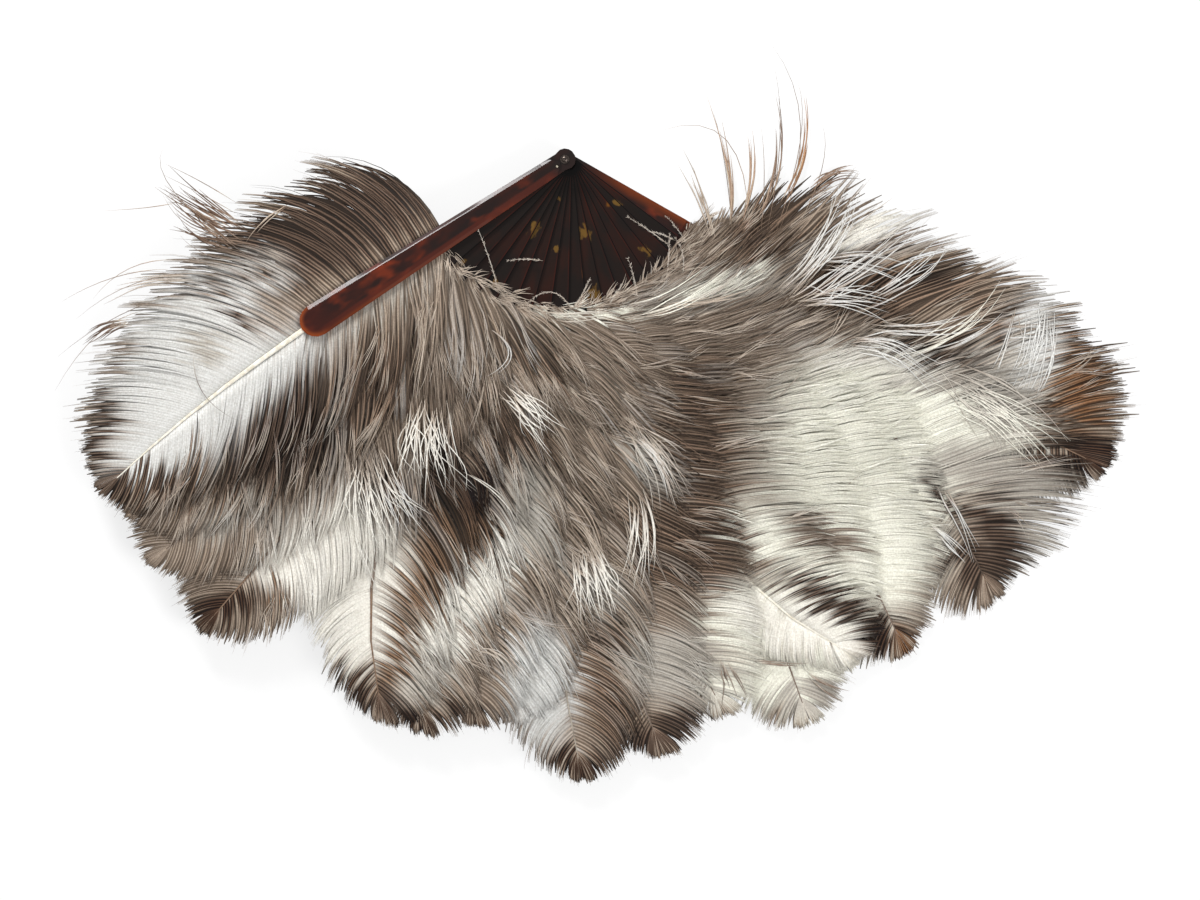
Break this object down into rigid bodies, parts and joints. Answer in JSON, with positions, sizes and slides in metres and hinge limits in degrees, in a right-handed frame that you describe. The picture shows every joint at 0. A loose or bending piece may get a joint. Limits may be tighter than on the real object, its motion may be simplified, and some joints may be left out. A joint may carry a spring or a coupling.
{
  "type": "feather fan",
  "caption": "Open folding fan with tortoiseshell-look sticks on one rivet and a long ostrich plume on each stick.",
  "frame": {"origin": "on the rivet's axis, level with the back of the rear guard on which the fan lies", "axes": "+Z along the rivet, from the rear guard to the front guard; the plumes point to -Y, the front guard lies to -X and the rear guard to +X"},
  "size_m": [0.6807, 0.4657, 0.0417],
  "materials": {
    "stick_shell": "gloss",
    "guard_shell": "gloss",
    "quill_horn": "satin",
    "feather": "matte",
    "rivet_metal": "satin"
  },
  "bodies": {
    "rear_guard": {"rear_guard": "guard_shell", "quill_00": "quill_horn", "plume_00": "feather", "rivet": "rivet_metal", "rear_washer": "rivet_metal", "front_washer": "rivet_metal"},
    "stick_01": {"stick_01": "stick_shell", "quill_01": "quill_horn", "plume_01": "feather"},
    "stick_02": {"stick_02": "stick_shell", "quill_02": "quill_horn", "plume_02": "feather"},
    "stick_03": {"stick_03": "stick_shell", "quill_03": "quill_horn", "plume_03": "feather"},
    "stick_04": {"stick_04": "stick_shell", "quill_04": "quill_horn", "plume_04": "feather"},
    "stick_05": {"stick_05": "stick_shell", "quill_05": "quill_horn", "plume_05": "feather"},
    "stick_06": {"stick_06": "stick_shell", "quill_06": "quill_horn", "plume_06": "feather"},
    "stick_07": {"stick_07": "stick_shell", "quill_07": "quill_horn", "plume_07": "feather"},
    "stick_08": {"stick_08": "stick_shell", "quill_08": "quill_horn", "plume_08": "feather"},
    "stick_09": {"stick_09": "stick_shell", "quill_09": "quill_horn", "plume_09": "feather"},
    "stick_10": {"stick_10": "stick_shell", "quill_10": "quill_horn", "plume_10": "feather"},
    "stick_11": {"stick_11": "stick_shell", "quill_11": "quill_horn", "plume_11": "feather"},
    "stick_12": {"stick_12": "stick_shell", "quill_12": "quill_horn", "plume_12": "feather"},
    "stick_13": {"stick_13": "stick_shell", "quill_13": "quill_horn", "plume_13": "feather"},
    "stick_14": {"stick_14": "stick_shell", "quill_14": "quill_horn", "plume_14": "feather"},
    "stick_15": {"stick_15": "stick_shell", "quill_15": "quill_horn", "plume_15": "feather"},
    "stick_16": {"stick_16": "stick_shell", "quill_16": "quill_horn", "plume_16": "feather"},
    "front_guard": {"front_guard": "guard_shell", "quill_17": "quill_horn", "plume_17": "feather", "guard_pin": "rivet_metal"}
  },
  "joints": [
    {"name": "front_guard_swing", "type": "hinge", "parent": "rear_guard", "child": "front_guard", "pos_m": [0, 0, 0], "axis": [0, 0, 1], "range_deg": [0, 115.7]},
    {"name": "stick_01_swing", "type": "hinge", "parent": "rear_guard", "child": "stick_01", "pos_m": [0, 0, 0], "axis": [0, 0, 1], "range_deg": [0, 6.82]},
    {"name": "stick_02_swing", "type": "hinge", "parent": "rear_guard", "child": "stick_02", "pos_m": [0, 0, 0], "axis": [0, 0, 1], "range_deg": [0, 13.62]},
    {"name": "stick_03_swing", "type": "hinge", "parent": "rear_guard", "child": "stick_03", "pos_m": [0, 0, 0], "axis": [0, 0, 1], "range_deg": [0, 20.43]},
    {"name": "stick_04_swing", "type": "hinge", "parent": "rear_guard", "child": "stick_04", "pos_m": [0, 0, 0], "axis": [0, 0, 1], "range_deg": [0, 27.23]},
    {"name": "stick_05_swing", "type": "hinge", "parent": "rear_guard", "child": "stick_05", "pos_m": [0, 0, 0], "axis": [0, 0, 1], "range_deg": [0, 34.04]},
    {"name": "stick_06_swing", "type": "hinge", "parent": "rear_guard", "child": "stick_06", "pos_m": [0, 0, 0], "axis": [0, 0, 1], "range_deg": [0, 40.84]},
    {"name": "stick_07_swing", "type": "hinge", "parent": "rear_guard", "child": "stick_07", "pos_m": [0, 0, 0], "axis": [0, 0, 1], "range_deg": [0, 47.65]},
    {"name": "stick_08_swing", "type": "hinge", "parent": "rear_guard", "child": "stick_08", "pos_m": [0, 0, 0], "axis": [0, 0, 1], "range_deg": [0, 54.46]},
    {"name": "stick_09_swing", "type": "hinge", "parent": "rear_guard", "child": "stick_09", "pos_m": [0, 0, 0], "axis": [0, 0, 1], "range_deg": [0, 61.26]},
    {"name": "stick_10_swing", "type": "hinge", "parent": "rear_guard", "child": "stick_10", "pos_m": [0, 0, 0], "axis": [0, 0, 1], "range_deg": [0, 68.07]},
    {"name": "stick_11_swing", "type": "hinge", "parent": "rear_guard", "child": "stick_11", "pos_m": [0, 0, 0], "axis": [0, 0, 1], "range_deg": [0, 74.88]},
    {"name": "stick_12_swing", "type": "hinge", "parent": "rear_guard", "child": "stick_12", "pos_m": [0, 0, 0], "axis": [0, 0, 1], "range_deg": [0, 81.68]},
    {"name": "stick_13_swing", "type": "hinge", "parent": "rear_guard", "child": "stick_13", "pos_m": [0, 0, 0], "axis": [0, 0, 1], "range_deg": [0, 88.49]},
    {"name": "stick_14_swing", "type": "hinge", "parent": "rear_guard", "child": "stick_14", "pos_m": [0, 0, 0], "axis": [0, 0, 1], "range_deg": [0, 95.29]},
    {"name": "stick_15_swing", "type": "hinge", "parent": "rear_guard", "child": "stick_15", "pos_m": [0, 0, 0], "axis": [0, 0, 1], "range_deg": [0, 102.1]},
    {"name": "stick_16_swing", "type": "hinge", "parent": "rear_guard", "child": "stick_16", "pos_m": [0, 0, 0], "axis": [0, 0, 1], "range_deg": [0, 108.9]}
  ],
  "couplings": [
    {"joint": "stick_01_swing", "follows": "front_guard_swing", "ratio": 0.058824},
    {"joint": "stick_02_swing", "follows": "front_guard_swing", "ratio": 0.11765},
    {"joint": "stick_03_swing", "follows": "front_guard_swing", "ratio": 0.17647},
    {"joint": "stick_04_swing", "follows": "front_guard_swing", "ratio": 0.23529},
    {"joint": "stick_05_swing", "follows": "front_guard_swing", "ratio": 0.29412},
    {"joint": "stick_06_swing", "follows": "front_guard_swing", "ratio": 0.35294},
    {"joint": "stick_07_swing", "follows": "front_guard_swing", "ratio": 0.41176},
    {"joint": "stick_08_swing", "follows": "front_guard_swing", "ratio": 0.47059},
    {"joint": "stick_09_swing", "follows": "front_guard_swing", "ratio": 0.52941},
    {"joint": "stick_10_swing", "follows": "front_guard_swing", "ratio": 0.58824},
    {"joint": "stick_11_swing", "follows": "front_guard_swing", "ratio": 0.64706},
    {"joint": "stick_12_swing", "follows": "front_guard_swing", "ratio": 0.70588},
    {"joint": "stick_13_swing", "follows": "front_guard_swing", "ratio": 0.76471},
    {"joint": "stick_14_swing", "follows": "front_guard_swing", "ratio": 0.82353},
    {"joint": "stick_15_swing", "follows": "front_guard_swing", "ratio": 0.88235},
    {"joint": "stick_16_swing", "follows": "front_guard_swing", "ratio": 0.94118}
  ]
}
